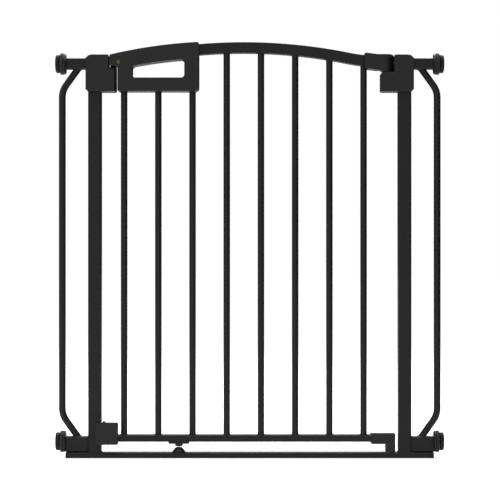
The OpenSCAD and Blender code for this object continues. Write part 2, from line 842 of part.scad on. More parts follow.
// Points along the arch from left to right, at rise above the middle of its tube, running past its
// two ends by the angle extra
function arch_line(rise, extra = 0) =
    let (
        left = asin((arch_left - (door_mid - arch_half)) / arch_end_r) - extra,
        right = asin((door_mid + arch_half - arch_right) / arch_end_r) - extra,
        bend = arch_end_r - rise,
        crest = arch_r + rise
    )
    [
        for (i = [0:end_steps - 1])
            let (a = left + (arch_sweep - left) * i / end_steps)
            [door_mid - arch_half + bend * sin(a), arch_end_centre_z - bend * cos(a)],
        for (i = [-crest_steps:crest_steps])
            let (a = arch_sweep * i / crest_steps)
            [door_mid + crest * sin(a), arch_centre_z + crest * cos(a)],
        for (i = [end_steps - 1:-1:0])
            let (a = right + (arch_sweep - right) * i / end_steps)
            [door_mid + arch_half - bend * sin(a), arch_end_centre_z - bend * cos(a)],
    ];

// The arch's tube as a solid bar, grown by a clearance; a negative clearance gives its hollow
module arch(grow = 0, extra = 0) {
    low = arch_line(-arch_tube / 2 - grow, extra);
    slab(-arch_tube / 2 - grow, arch_tube / 2 + grow)
        polygon(concat(arch_line(arch_tube / 2 + grow, extra), [for (i = [len(low) - 1:-1:0]) low[i]]));
}

module arch_rail() {
    slot_w = stem_w / 2 + slide_fit;
    color(steel)
        difference() {
            arch();
            arch(-tube_wall, 0.2);
            // Slot for the thumb slide's stem
            block(stem_right - stem_l - bolt_throw - 1, stem_right + 1, -slot_w, slot_w,
                bolt_z + bolt_h / 2, arch_top);
            rod_y(spring_pin_r + pin_seat, spring_pin_x, spring_z, -arch_tube, arch_tube);
        }
}

module door_bottom_rail() {
    color(steel)
        beam(door_rail_left, door_rail_right)
            translate([0, door_rail_mid])
                box_tube(door_rail_d, door_rail_h, door_rail_corner_r, tube_wall);
}

// Bar i runs from the bottom rail to the arch, except the second, which ends in the handle's grip
module bar(i) {
    x = bar_x(i);
    top = i == 2 ? grip_top - 4 : arch_mid_z(x) - arch_tube / 4;
    color(steel)
        difference() {
            translate([x, 0, door_rail_top])
                cylinder(r = bar_r, h = top - door_rail_top);
            translate([x, 0, door_rail_top - over])
                cylinder(r = bar_r - round_wall, h = top - door_rail_top + 2 * over);
            if (i != 2)
                arch();
        }
}
module bar_1() { bar(1); }
module bar_2() { bar(2); }
module bar_3() { bar(3); }
module bar_4() { bar(4); }
module bar_5() { bar(5); }
module bar_6() { bar(6); }
module bar_7() { bar(7); }
module bar_8() { bar(8); }

// Sleeve on the arch's end with the knuckle that turns on the upper pin; its rear is cut back to the
// knuckle's radius, because that side swings past the bracket, and a round barrel fills the gap there
module upper_hinge_piece() {
    x0 = hinge_x - hinge_piece_l;
    x1 = hinge_x + knuckle_r - 1.5;
    neck = arch_right + 0.5;
    low = knuckle_bottom;
    barrel_drop = 0.8;                           // how far the barrel's top lies under the piece's top
    color(plastic)
        difference() {
            union() {
                intersection() {
                    slab(-hinge_piece_d, hinge_piece_d)
                        polygon(outline([
                            [x0, low + 6.4, 1.5], [hinge_x - 17, low + 3.2, 4],
                            [hinge_x - 11.5, low, 1], [x1, low, 0.5],
                            [x1, knuckle_top, 2.5], [hinge_x - 22, knuckle_top, 12],
                            [x0 + 3, knuckle_top + 2.8, 2], [x0, knuckle_top + 2.2, 2],
                        ]));
                    union() {
                        block(x0, neck, -hinge_piece_d / 2, hinge_piece_d / 2,
                            low - over, knuckle_top + 9);
                        translate([0, 0, low - over])
                            linear_extrude(knuckle_h + 2 * over)
                                polygon(outline([
                                    [neck - over, -hinge_piece_d / 2, 0],
                                    [x1, -hinge_piece_d / 2, 13.5],
                                    [x1, knuckle_r, knuckle_r - 1.5], [neck - over, knuckle_r, 0],
                                ]));
                    }
                }
                translate([hinge_x, 0, low])
                    cylinder(r = barrel_r, h = knuckle_h - barrel_drop);
            }
            arch(seat_fit, end_clear);
            translate([last_bar_x, 0, low])
                cylinder(r = bar_r + seat_fit, h = arch_mid_z(last_bar_x) - low);
            translate([hinge_x, 0, low - over])
                cylinder(r = pin_r + run_fit, h = upper_pin_top - low + over + pin_head_room);
        }
}

module lower_corner_piece() {
    x0 = hinge_x - corner_l;
    x1 = hinge_x + corner_out;
    leg = hinge_x - corner_leg;
    z0 = door_rail_z - corner_floor;
    z1 = door_rail_top + corner_wall;
    color(plastic)
        difference() {
            slab(-corner_d / 2, corner_d / 2)
                polygon(outline([
                    [x0, z0 + 1.8, 0.8], [x0 + 2.2, z0, 0.8], [leg, z0, 1.5], [leg, corner_bottom, 0.8],
                    [x1, corner_bottom, 0.8], [x1, z1, 1.8], [x0, z1, 1.2],
                ]));
            beam(x0 - over, door_rail_right + seat_fit)
                translate([0, door_rail_mid])
                    round_rect(door_rail_d + 2 * seat_fit, door_rail_h + 2 * seat_fit,
                        door_rail_corner_r + seat_fit);
            translate([hinge_x, 0, corner_bottom - over])
                cylinder(r = pin_r + run_fit, h = lower_pin_top - corner_bottom + over + pin_head_room);
        }
}

module rail_end_plug() {
    inner = tube_wall + seat_fit;
    plug_head = 1.5;
    color(plastic) {
        beam(door_rail_left, door_rail_left + plug_l)
            translate([0, door_rail_mid])
                round_rect(door_rail_d - 2 * inner, door_rail_h - 2 * inner, door_rail_corner_r - inner);
        beam(door_rail_left - plug_head, door_rail_left)
            translate([0, door_rail_mid])
                round_rect(door_rail_d, door_rail_h, door_rail_corner_r);
    }
}

module door_stop() {
    nub_h = door_rail_z - stop_plate_t - nub_tip;
    color(plastic) {
        block(stop_mid - stop_plate_l / 2, stop_mid + stop_plate_l / 2,
            1 - door_rail_d / 2, door_rail_d / 2 - 1, door_rail_z - stop_plate_t, door_rail_z);
        translate([stop_mid, 0, nub_tip])
            rotate_extrude()
                polygon(outline([[0, 0, 0], [nub_r, 0, 3], [nub_r, nub_h, 0], [0, nub_h, 0]]));
    }
}

// ---- handle ------------------------------------------------------------------------------------------

// The handle's front view, drawn in by inset: the body, the nose on its left and the long curved top
function handle_corners(inset) =
    let (
        left = handle_left + inset,
        right = handle_right - inset,
        low = handle_bottom + inset,
        nose = nose_left + inset,
        step = (handle_l + nose_l) / 12
    )
    [
        [left, low, 3 - inset / 2],
        [left, nose_bottom + inset, 0.8],
        [nose, nose_bottom + inset, 5 - inset],
        [nose, handle_top_z(nose) - inset, 2.6 - inset / 2],
        for (i = [1:11]) [nose_left + i * step, handle_top_z(nose_left + i * step) - inset, 0],
        [right, handle_top_z(right) - inset, 3.4 - inset], [right, low, 8 - inset],
    ];

// The hand hole, drawn out by grow; its top runs parallel with the handle's top
function hole_corners(grow) =
    let (
        x0 = hole_x0 - grow,
        x1 = hole_x1 + grow,
        step = (x1 - x0) / 6
    )
    [
        [x0, hole_bottom - grow, hole_r + grow],
        [x0, handle_top_z(x0) - strip_h + grow, hole_r + grow],
        for (i = [1:5]) [x0 + i * step, handle_top_z(x0 + i * step) - strip_h + grow, 0],
        [x1, handle_top_z(x1) - strip_h + grow, hole_r + grow],
        [x1, hole_bottom - grow, hole_r + grow],
    ];

handle_boss_r = 3.3;
slot_end = 0.8;                                  // room at each end of the thumb slide's slot
handle_screw_at = [
    [(bar_x(1) + bar_r + hole_x0 - shell_wall) / 2, hole_bottom + 10],
    [(bar_x(3) - bar_r + hole_x1 + shell_wall) / 2, hole_bottom + 10],
    [(bar_x(1) + bar_x(2)) / 2, handle_bottom + grip_h / 2],
    [(bar_x(2) + bar_x(3)) / 2, handle_bottom + grip_h / 2],
];

module handle_shell(y0, y1) {
    inner0 = y0 < 0 ? y0 + shell_wall : y0 - over;
    inner1 = y0 < 0 ? y1 + over : y1 - shell_wall;
    color(plastic)
        difference() {
            union() {
                difference() {
                    slab(y0, y1)
                        polygon(outline(handle_corners(0)));
                    slab(inner0, inner1)
                        polygon(outline(handle_corners(shell_wall)));
                }
                slab(y0, y1)
                    polygon(outline(hole_corners(shell_wall)));
                for (at = handle_screw_at)
                    rod_y(handle_boss_r, at.x, at.y,
                        max(y0, over - handle_d / 2), min(y1, handle_d / 2 - over));
            }
            slab(y0 - over, y1 + over)
                polygon(outline(hole_corners(0)));
            arch(seat_fit, end_clear);
            for (i = [1:3])
                translate([bar_x(i), 0, handle_bottom - over])
                    cylinder(r = bar_r + seat_fit,
                        h = (i == 2 ? grip_top : arch_mid_z(bar_x(i))) - handle_bottom + over);
            for (at = handle_screw_at)
                rear_screw_hole(at.x, at.y, -screw_bite, handle_d / 2);
            // The bolt's way out, and the slot that the thumb slide's pad lies in
            opening(nose_left - over, handle_left + 2, 0, bolt_w + 2 * head_fit,
                bolt_z, bolt_h + 2 * head_fit);
            opening(slide_right - slide_l - bolt_throw - slot_end, slide_right + slot_end,
                0, slide_w + 2 * slide_fit, arch_top, 2 * (arch_top - bolt_z - bolt_h));
            // The flag's plunger and its window
            opening(nose_left - over, handle_left, flag_y + plunger_w / 2, plunger_w + 2 * slide_fit,
                window_z, plunger_h + 2 * slide_fit);
            opening(window_mid - window_w / 2, window_mid + window_w / 2, front_y, 2 * (shell_wall + over),
                window_z, window_h);
        }
}
module handle_front() { handle_shell(-handle_d / 2, 0); }
module handle_rear() { handle_shell(0, handle_d / 2); }

module handle_screws() {
    color(zinc)
        for (at = handle_screw_at)
            rear_screw(at.x, at.y, -screw_bite, handle_d / 2);
}

module indicator_window() {
    color("#cfd8d0", 0.5)
        opening(window_mid - window_w / 2 + screw_fit, window_mid + window_w / 2 - screw_fit,
            front_y + shell_wall / 2, shell_wall - 0.7, window_z, window_h - 2 * screw_fit);
}

// ---- latch -------------------------------------------------------------------------------------------

module latch_bolt() {
    color(zinc)
        slab(-bolt_w / 2, bolt_w / 2)
            polygon(outline([
                [bolt_tip, bolt_z - bolt_h / 2, 1], [bolt_tail, bolt_z - bolt_h / 2, 0.4],
                [bolt_tail, bolt_z + bolt_h / 2, 0.4], [bolt_tip, bolt_z + bolt_h / 2, 1],
            ]));
}

// The pad lies 1 mm under the handle's top and the stem stands on the bolt
module thumb_slide() {
    left = slide_right - slide_l;
    function pad_top(x) = handle_top_z(x) - over;
    function pad_low(x) = arch_mid_z(x) + arch_tube / 2 + 2 * slide_fit;
    color(plastic) {
        slab(-slide_w / 2, slide_w / 2)
            polygon(outline([
                [left, pad_low(left), 0.3], [slide_right, pad_low(slide_right), 0.3],
                [slide_right, pad_top(slide_right), 0.8], [left, pad_top(left), 0.8],
            ]));
        block(stem_right - stem_l, stem_right, -stem_w / 2, stem_w / 2, bolt_z + bolt_h / 2,
            pad_top(stem_right - stem_l) - over);
    }
}

module latch_spring() {
    turns = 7;
    end_gap = 0.2;
    pitch = (latch_spring_l - 2 * end_gap - 2 * latch_spring_wire) / turns;
    color(zinc)
        translate([bolt_tail + end_gap, 0, spring_z])
            rotate([0, 90, 0])
                coil(latch_spring_r, latch_spring_wire, turns, pitch, 6, 12);
}

module spring_pin() {
    color(zinc)
        rod_y(spring_pin_r, spring_pin_x, spring_z, -arch_tube / 2, arch_tube / 2);
}

// ---- indicator ---------------------------------------------------------------------------------------

flag_h = window_h + 1.6;
flag_left = window_mid - flag_travel / 2;

// Green half of the flag with the plunger that the striker pushes in while the door is shut
module flag_green() {
    color("#4f7a1c") {
        block(flag_left, flag_left + flag_travel, flag_y, flag_y + flag_t,
            window_z - flag_h / 2, window_z + flag_h / 2);
        block(plunger_gap - post_in + striker_face, flag_left, flag_y, flag_y + plunger_w,
            window_z - plunger_h / 2, window_z + plunger_h / 2);
    }
}

module flag_red() {
    color("#b02418")
        block(flag_left + flag_travel, flag_left + 2 * flag_travel, flag_y, flag_y + flag_t,
            window_z - flag_h / 2, window_z + flag_h / 2);
}

// ---- wall spindles -----------------------------------------------------------------------------------

// Puts a piece made for the right-hand upper spindle at another corner: side 0 is right, 1 is left
module at_corner(side, z) {
    mirror([side, 0, 0])
        translate([0, 0, z])
            children();
}

module nut(side, z) {
    bore = spindle_r + run_fit;
    x0 = arm_end + seat_fit;
    x1 = arm_end + nut_t;
    groove = arm_end + 3.9;
    groove_w = 0.9;
    groove_depth = 1.4;
    collar_r = nut_r - 0.6;
    color(plastic)
        at_corner(side, z)
            turned_x()
                polygon(outline([
                    [x0, bore, 0], [x0, collar_r, 2.8], [groove, collar_r, 0.4],
                    [groove, collar_r - groove_depth, 0], [groove + groove_w, collar_r - groove_depth, 0],
                    [groove + groove_w, nut_r, 0.8], [x1, nut_r, 2.4], [x1, bore, 0],
                ]));
}

module spindle(side, z) {
    color(zinc)
        at_corner(side, z)
            rotate([0, 90, 0]) {
                translate([0, 0, spindle_in])
                    cylinder(r = spindle_r, h = pad_in + pad_back - spindle_in);
                translate([0, 0, pad_in + pad_back])
                    cylinder(r = spindle_head_r, h = spindle_head_t);
            }
}

module pad(side, z) {
    pad_round = 3.5;                             // rounding of the rim towards the wall
    color(rubber)
        at_corner(side, z)
            difference() {
                turned_x()
                    polygon(outline([
                        [pad_in, 0, 0], [pad_in, pad_r, 0.8], [pad_out, pad_r, pad_round], [pad_out, 0, 0],
                    ]));
                rotate([0, 90, 0]) {
                    translate([0, 0, pad_in - over])
                        cylinder(r = spindle_r + pin_seat, h = pad_back + over);
                    translate([0, 0, pad_in + pad_back])
                        cylinder(r = spindle_head_r + pin_seat, h = spindle_head_t);
                }
            }
}

module upper_left_nut() { nut(1, upper_arm_z); }
module upper_right_nut() { nut(0, upper_arm_z); }
module lower_left_nut() { nut(1, lower_arm_z); }
module lower_right_nut() { nut(0, lower_arm_z); }
module upper_left_spindle() { spindle(1, upper_arm_z); }
module upper_right_spindle() { spindle(0, upper_arm_z); }
module lower_left_spindle() { spindle(1, lower_arm_z); }
module lower_right_spindle() { spindle(0, lower_arm_z); }
module upper_left_pad() { pad(1, upper_arm_z); }
module upper_right_pad() { pad(0, upper_arm_z); }
module lower_left_pad() { pad(1, lower_arm_z); }
module lower_right_pad() { pad(0, lower_arm_z); }

// ---- the gate ----------------------------------------------------------------------------------------

floor_rail();
floor_rail_plugs();
left_post();
right_post();
upper_arms();
lower_arms();
side_bows();
arm_bushes();
striker_front();
striker_rear();
striker_screws();
bracket_front();
bracket_rear();
bracket_screws();
upper_hinge_pin();
lower_hinge_pin();
hinge_spring();
hinge_washers();
lower_catch();
catch_screws();
catch_buffer();
floor_stop();
arch_rail();
door_bottom_rail();
bar_1();
bar_2();
bar_3();
bar_4();
bar_5();
bar_6();
bar_7();
bar_8();
upper_hinge_piece();
lower_corner_piece();
rail_end_plug();
handle_front();
handle_rear();
handle_screws();
indicator_window();
latch_spring();
spring_pin();
door_stop();
latch_bolt();
thumb_slide();
flag_green();
flag_red();
upper_left_nut();
upper_right_nut();
lower_left_nut();
lower_right_nut();
upper_left_spindle();
upper_right_spindle();
lower_left_spindle();
lower_right_spindle();
upper_left_pad();
upper_right_pad();
lower_left_pad();
lower_right_pad();
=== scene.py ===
import math
import bmesh
import bpy
from mathutils import Matrix, Vector
from mathutils.geometry import tessellate_polygon


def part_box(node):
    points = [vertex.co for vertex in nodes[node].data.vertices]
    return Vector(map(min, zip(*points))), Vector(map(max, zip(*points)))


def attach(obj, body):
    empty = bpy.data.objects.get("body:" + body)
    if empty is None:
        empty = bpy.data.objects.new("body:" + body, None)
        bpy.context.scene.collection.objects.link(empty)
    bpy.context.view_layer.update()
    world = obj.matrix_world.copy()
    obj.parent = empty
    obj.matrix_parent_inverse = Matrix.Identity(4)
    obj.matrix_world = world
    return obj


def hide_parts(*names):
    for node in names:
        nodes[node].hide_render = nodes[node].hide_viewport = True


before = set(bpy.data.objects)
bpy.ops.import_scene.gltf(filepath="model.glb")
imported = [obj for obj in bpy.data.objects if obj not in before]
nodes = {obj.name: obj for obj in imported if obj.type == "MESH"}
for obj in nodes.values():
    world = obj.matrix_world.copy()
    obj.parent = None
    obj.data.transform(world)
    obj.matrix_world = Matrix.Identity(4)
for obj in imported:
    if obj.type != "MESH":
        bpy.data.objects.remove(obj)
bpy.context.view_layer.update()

MM = 0.001
bpy.context.scene.view_settings.view_transform = "Standard"

# ---- The room and the camera -------------------------------------------------------------------
# The gate stands free on a pale floor in soft light, with one large lamp overhead and one at the
# left. The camera is level with the middle of the gate, a little over three metres in front of it.

camera_distance = 3.25
camera_height = 0.3899
camera_side = 0.0005
view_width = 0.940

camera = bpy.data.objects.new("camera", bpy.data.cameras.new("camera"))
bpy.context.scene.collection.objects.link(camera)
camera.location = (camera_side, -camera_distance, camera_height)
camera.rotation_euler = (math.radians(90), 0, 0)
camera.data.sensor_width = 36
camera.data.lens = 36 * camera_distance / view_width
bpy.context.scene.camera = camera


def lamp(name, place, aim, size, power):
    """A rectangular soft box at place, turned to aim."""
    light = bpy.data.lights.new(name, "AREA")
    light.shape = "RECTANGLE"
    light.size, light.size_y = size
    light.energy = power
    holder = bpy.data.objects.new(name, light)
    bpy.context.scene.collection.objects.link(holder)
    holder.location = place
    holder.rotation_euler = (Vector(aim) - Vector(place)).to_track_quat("-Z", "Y").to_euler()
    holder.visible_camera = False
    return holder


lamp("overhead_lamp", (0, 0.3, 2.6), (0, 0, 0.5), (2.4, 2.4), 50)
lamp("rear_lamp", (0, 2.0, 2.1), (0, 0, 0.4), (2.4, 0.8), 60)
lamp("left_lamp", (-2.6, -2.0, 1.5), (0, 0, 0.4), (1.6, 1.8), 10)


def is_seen_directly(tree):
    """1 for rays from the camera, and for those that metal or glass sends on, 0 for all others."""
    path = tree.nodes.new("ShaderNodeLightPath")
    mirror = tree.nodes.new("ShaderNodeMath")
    mirror.operation = "MAXIMUM"
    tree.links.new(path.outputs["Is Glossy Ray"], mirror.inputs[0])
    tree.links.new(path.outputs["Is Transmission Ray"], mirror.inputs[1])
    either = tree.nodes.new("ShaderNodeMath")
    either.operation = "MAXIMUM"
    tree.links.new(path.outputs["Is Camera Ray"], either.inputs[0])
    tree.links.new(mirror.outputs[0], either.inputs[1])
    return either.outputs[0]


def white_room():
    """The world: white where it is seen, and a gentler white where it lights."""
    light_level = 0.55
    world = bpy.data.worlds.new("room")
    world.use_nodes = True
    bpy.context.scene.world = world
    tree = world.node_tree
    level = tree.nodes.new("ShaderNodeMapRange")
    level.inputs["To Min"].default_value = light_level
    level.inputs["To Max"].default_value = 1
    tree.links.new(is_seen_directly(tree), level.inputs["Value"])
    tree.nodes["Background"].inputs["Color"].default_value = (1, 1, 1, 1)
    tree.links.new(level.outputs[0], tree.nodes["Background"].inputs["Strength"])


def pale_floor():
    """A wide floor that keeps the gate's shadow and runs to white."""
    bpy.ops.mesh.primitive_plane_add(size=30, location=(0, 6, -0.0002))
    floor = bpy.context.object
    floor.name = "floor"
    paint = bpy.data.materials.new("floor_paint")
    paint.use_nodes = True
    tree = paint.node_tree
    shader = tree.nodes["Principled BSDF"]
    shader.inputs["Base Color"].default_value = (0.8, 0.8, 0.8, 1)
    shader.inputs["Roughness"].default_value = 0.9
    shader.inputs["Specular IOR Level"].default_value = 0
    shader.inputs["Emission Color"].default_value = (1, 1, 1, 1)
    share = tree.nodes.new("ShaderNodeMath")
    share.operation = "MULTIPLY"
    share.inputs[1].default_value = 0.6
    tree.links.new(is_seen_directly(tree), share.inputs[0])
    tree.links.new(share.outputs[0], shader.inputs["Emission Strength"])
    floor.data.materials.append(paint)


def black_screens():
    """Matt black screens at both sides, out of the camera's sight, which keep the tubes' sides dark."""
    height = 1.1
    left = [(0, 1.5, 0.35), (-0.9, 1.0, 0.2), (-1.3, 0.2, 0)]
    right = [(0, 1.5, 0.35), (0.9, 1.0, 0.2), (1.3, 0.2, 0), (1.4, -1.8, 0)]
    cloth = bpy.data.materials.new("black_cloth")
    cloth.use_nodes = True
    shader = cloth.node_tree.nodes["Principled BSDF"]
    shader.inputs["Base Color"].default_value = (0.004, 0.004, 0.004, 1)
    shader.inputs["Roughness"].default_value = 1
    shader.inputs["Specular IOR Level"].default_value = 0
    for name, path in (("left_screen", left), ("right_screen", right)):
        stretched = bmesh.new()
        posts = [[stretched.verts.new((x, y, z)) for z in (foot, height)] for x, y, foot in path]
        for one, next_one in zip(posts, posts[1:]):
            stretched.faces.new((one[0], next_one[0], next_one[1], one[1]))
        mesh = bpy.data.meshes.new(name)
        stretched.to_mesh(mesh)
        stretched.free()
        mesh.materials.append(cloth)
        screen = bpy.data.objects.new(name, mesh)
        bpy.context.scene.collection.objects.link(screen)
        screen.visible_camera = False
        screen.visible_shadow = False


white_room()
pale_floor()
black_screens()

# ---- The steel frame ---------------------------------------------------------------------------
# The floor rail, the two posts, the short arms and the round bows at the sides. All are thin steel
# tube, welded together and sprayed with satin black powder, which bakes to a faint orange peel.


def shader_node(tree, kind, settings=(), **inputs):
    """Adds one node; settings are pairs of property and value, inputs are sockets by name."""
    made = tree.nodes.new("ShaderNode" + kind)
    for name, value in settings:
        setattr(made, name, value)
    for name, value in inputs.items():
        socket = made.inputs[name.replace("_", " ")]
        if isinstance(value, bpy.types.NodeSocket):
            tree.links.new(value, socket)
        else:
            socket.default_value = value
    return made


def edge_sheen_mask(tree, reach, place):
    """1 along the outer edges of a piece, broken up in patches, and 0 on its faces: the mask of a painted
    sheen.
    """
    eased = shader_node(tree, "Bevel", [("samples", 4)], Radius=reach)
    surface = tree.nodes.new("ShaderNodeNewGeometry")
    turn = shader_node(tree, "VectorMath", [("operation", "DOT_PRODUCT")])
    tree.links.new(eased.outputs["Normal"], turn.inputs[0])
    tree.links.new(surface.outputs["Normal"], turn.inputs[1])
    edge = shader_node(tree, "MapRange", Value=turn.outputs["Value"])
    edge.inputs["From Min"].default_value = 0.995
    edge.inputs["From Max"].default_value = 0.85
    patches = shader_node(tree, "TexNoise", Vector=place, Scale=140, Detail=3)
    broken = shader_node(tree, "MapRange", Value=patches.outputs["Fac"])
    broken.inputs["From Min"].default_value = 0.42
    broken.inputs["From Max"].default_value = 0.62
    both = shader_node(tree, "Math", [("operation", "MULTIPLY")])
    tree.links.new(edge.outputs[0], both.inputs[0])
    tree.links.new(broken.outputs[0], both.inputs[1])
    return both.outputs[0]


def surface_finish(name, colour, sheen_colour, roughness, grain, depth,
        cloud=9, specular=0.25, metal=0.0, reach=0.5):
    """A solid finish: grain is its texture in marks a metre, depth how deep that is in mm, colour and
    roughness (a pair, smoothest first) drift over the piece, and its edges get a painted sheen of the
    second colour."""
    material = bpy.data.materials.new(name)
    material.use_nodes = True
    tree = material.node_tree
    shader = tree.nodes["Principled BSDF"]
    place = shader_node(tree, "TexCoord").outputs["Object"]
    drift = shader_node(tree, "TexNoise", Vector=place, Scale=cloud, Detail=4)
    tone = shader_node(tree, "ValToRGB", Fac=drift.outputs["Fac"])
    tone.color_ramp.elements[0].position = 0.3
    tone.color_ramp.elements[1].position = 0.7
    tone.color_ramp.elements[0].color = (*[part * 0.92 for part in colour], 1)
    tone.color_ramp.elements[1].color = (*[part * 1.08 for part in colour], 1)
    # Painted sheen: the outer edges are lightened towards a paler colour in broken patches; on the powder
    # coat it also stands for the thinner coat there.
    edges = edge_sheen_mask(tree, reach * MM, place)
    sheened = shader_node(tree, "MixRGB", Fac=edges, Color1=tone.outputs["Color"], Color2=(*sheen_colour, 1))
    tree.links.new(sheened.outputs["Color"], shader.inputs["Base Color"])
    fine = shader_node(tree, "TexNoise", Vector=place, Scale=grain, Detail=3)
    polish = shader_node(tree, "MapRange", Value=fine.outputs["Fac"])
    polish.inputs["From Min"].default_value = 0.3
    polish.inputs["From Max"].default_value = 0.7
    polish.inputs["To Min"].default_value = roughness[0]
    polish.inputs["To Max"].default_value = roughness[1]
    tree.links.new(polish.outputs[0], shader.inputs["Roughness"])
    bump = shader_node(tree, "Bump", Height=fine.outputs["Fac"], Strength=1, Distance=depth * MM)
    tree.links.new(bump.outputs["Normal"], shader.inputs["Normal"])
    shader.inputs["Specular IOR Level"].default_value = specular
    shader.inputs["Metallic"].default_value = metal
    return material


powder_coat = surface_finish("powder_coat", (0.0097, 0.0097, 0.0102), (0.03, 0.03, 0.031), (0.38, 0.48),
    grain=420, depth=0.007, specular=0.18)
joint_gap = 0.003 * MM
flat_angle = math.radians(0.2)
sharp_angle = math.radians(35)


def clean_copy(name):
    """A CAD node's shape to work on, with its facets' corners joined and its flat faces whole."""
    shape = bmesh.new()
    shape.from_mesh(nodes[name].data)
    bmesh.ops.remove_doubles(shape, verts=shape.verts, dist=joint_gap)
    bmesh.ops.dissolve_degenerate(shape, edges=shape.edges, dist=joint_gap)
    bmesh.ops.dissolve_limit(shape, angle_limit=flat_angle, verts=shape.verts, edges=shape.edges)
    bmesh.ops.recalc_face_normals(shape, faces=shape.faces)
    return shape


def ease(shape, width, chosen=lambda x, y, z: True, steps=3):
    """Rounds the sharp edges whose middles, in mm, are chosen."""
    edges = []
    for edge in shape.edges:
        if len(edge.link_faces) != 2 or edge.calc_face_angle(0) < sharp_angle:
            continue
        middle = (edge.verts[0].co + edge.verts[1].co) / 2 / MM
        if chosen(*middle):
            edges.append(edge)
    bmesh.ops.bevel(shape, geom=edges, offset=width * MM, offset_type="OFFSET", segments=steps,
        profile=0.5, affect="EDGES", clamp_overlap=True, loop_slide=True)


def piece(name, shape, material, body, slot, *stands_for, smooth=40):
    """Makes the object, shaded smooth between its real corners, and fixes it to its body."""
    mesh = bpy.data.meshes.new(name)
    shape.to_mesh(mesh)
    shape.free()
    for face in mesh.polygons:
        face.use_smooth = True
    mesh.set_sharp_from_angle(angle=math.radians(smooth))
    mesh.materials.append(material)
    made = bpy.data.objects.new(name, mesh)
    bpy.context.scene.collection.objects.link(made)
    even = made.modifiers.new("even_shading", "WEIGHTED_NORMAL")
    even.keep_sharp = True
    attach(made, body)
    if stands_for:
        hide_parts(*stands_for)
    return made


def carried(name, material, eased=0.3):
    """A node that keeps its shape, with a little of each sharp edge taken off."""
    kept = nodes[name]
    for face in kept.data.polygons:
        face.use_smooth = True
    for spot in kept.material_slots:
        spot.material = material
    join = kept.modifiers.new("join", "WELD")
    join.merge_threshold = joint_gap
    whole = kept.modifiers.new("whole_faces", "DECIMATE")
    whole.decimate_type = "DISSOLVE"
    whole.angle_limit = flat_angle
    edge = kept.modifiers.new("eased_edges", "BEVEL")
    edge.width = eased * MM
    edge.segments = 2
    edge.limit_method = "ANGLE"
    edge.angle_limit = sharp_angle
    even = kept.modifiers.new("even_shading", "WEIGHTED_NORMAL")
    even.keep_sharp = True
    return kept


for tube in ("floor_rail", "left_post", "right_post", "upper_arms", "lower_arms", "side_bows"):
    carried(tube, powder_coat)

# ---- Weld beads on the frame -------------------------------------------------------------------
# A small rippled fillet of weld runs round each post's foot, each arm's root and each end of the
# bows, where the tubes meet. It is sprayed over with the same powder.


def turn_angles(count):
    """The angles of count even steps round a full turn."""
    return [2 * math.pi * k / count for k in range(count)]


def skin(shape, ring, other, shift=0):
    """Faces between two rings of as many points; shift is how far the second is turned on."""
    count = len(ring)
    for k in range(count):
        n = (k + 1) % count
        shape.faces.new((ring[k], ring[n], other[(n + shift) % count], other[(k + shift) % count]))


def sweep(shape, line, width, sides=8, ripple=0.0, closed=True):
    """Runs a round bead or wire of radius width along the line; its radius ripples by that share."""
    ripple_turn = 2.4
    count = len(line)
    rings = []
    for i, here in enumerate(line):
        before = line[i - 1] if closed or i > 0 else here
        after = line[(i + 1) % count] if closed or i < count - 1 else here
        along = (after - before).normalized()
        across = along.orthogonal() if i == 0 else across - along * across.dot(along)
        across = across.normalized()
        up = along.cross(across)
        radius = width * (1 + ripple * math.sin(i * ripple_turn))
        rings.append([
            shape.verts.new(here + radius * (across * math.cos(a) + up * math.sin(a)))
            for a in turn_angles(sides)
        ])
    turns = count if closed else count - 1
    for i in range(turns):
        ring, other = rings[i], rings[(i + 1) % count]
        shift = 0
        if closed and i == turns - 1:
            shift = min(range(sides), key=lambda k: (other[k].co - ring[0].co).length)
        skin(shape, ring, other, shift)
    if not closed:
        shape.faces.new(rings[0][::-1])
        shape.faces.new(rings[-1])


def round_the_box(low, high, fixed, at, corner, step=0.9):
    """Points, in metres, round a rectangle with rounded corners; fixed is the axis it lies across."""
    axes = [axis for axis in range(3) if axis != fixed]
    half = [(high[axis] - low[axis]) / 2 for axis in axes]
    middle = [(high[axis] + low[axis]) / 2 for axis in axes]
    corner = corner * MM
    corner_steps = 4
    flat = []
    for sx, sy, start in ((1, 1, 0), (-1, 1, 90), (-1, -1, 180), (1, -1, 270)):
        for k in range(corner_steps + 1):
            a = math.radians(start + 90 * k / corner_steps)
            on_first = sx * (half[0] - corner) + corner * math.cos(a)
            on_second = sy * (half[1] - corner) + corner * math.sin(a)
            flat.append((on_first, on_second))
    points = []
    for i, first in enumerate(flat):
        second = flat[(i + 1) % len(flat)]
        span = math.dist(first, second)
        parts = max(1, round(span / (step * MM)))
        for k in range(parts):
            share = k / parts
            spot = Vector((0, 0, 0))
            spot[fixed] = at
            spot[axes[0]] = middle[0] + first[0] + (second[0] - first[0]) * share
            spot[axes[1]] = middle[1] + first[1] + (second[1] - first[1]) * share
            points.append(spot)
    return points


def ring_round(middle, radius, depth, place, sides, slope=0.0):
    """Points round an upright tube at the height place; slope is that of its cut end along X."""
    return [
        Vector((middle + radius * math.cos(a), depth * math.sin(a), place + slope * radius * math.cos(a)))
        for a in turn_angles(sides)
    ]


bead_r = 1.1 * MM
bead_sink = 0.35 * MM
bead_ripple = 0.12
tube_corner = 3
post_low, post_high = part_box("right_post")
arm_low, arm_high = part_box("lower_arms")
top_arm_low, top_arm_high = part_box("upper_arms")
rail_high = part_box("floor_rail")[1]
bow_low, bow_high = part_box("side_bows")
bow_r = (bow_high.y - bow_low.y) / 2

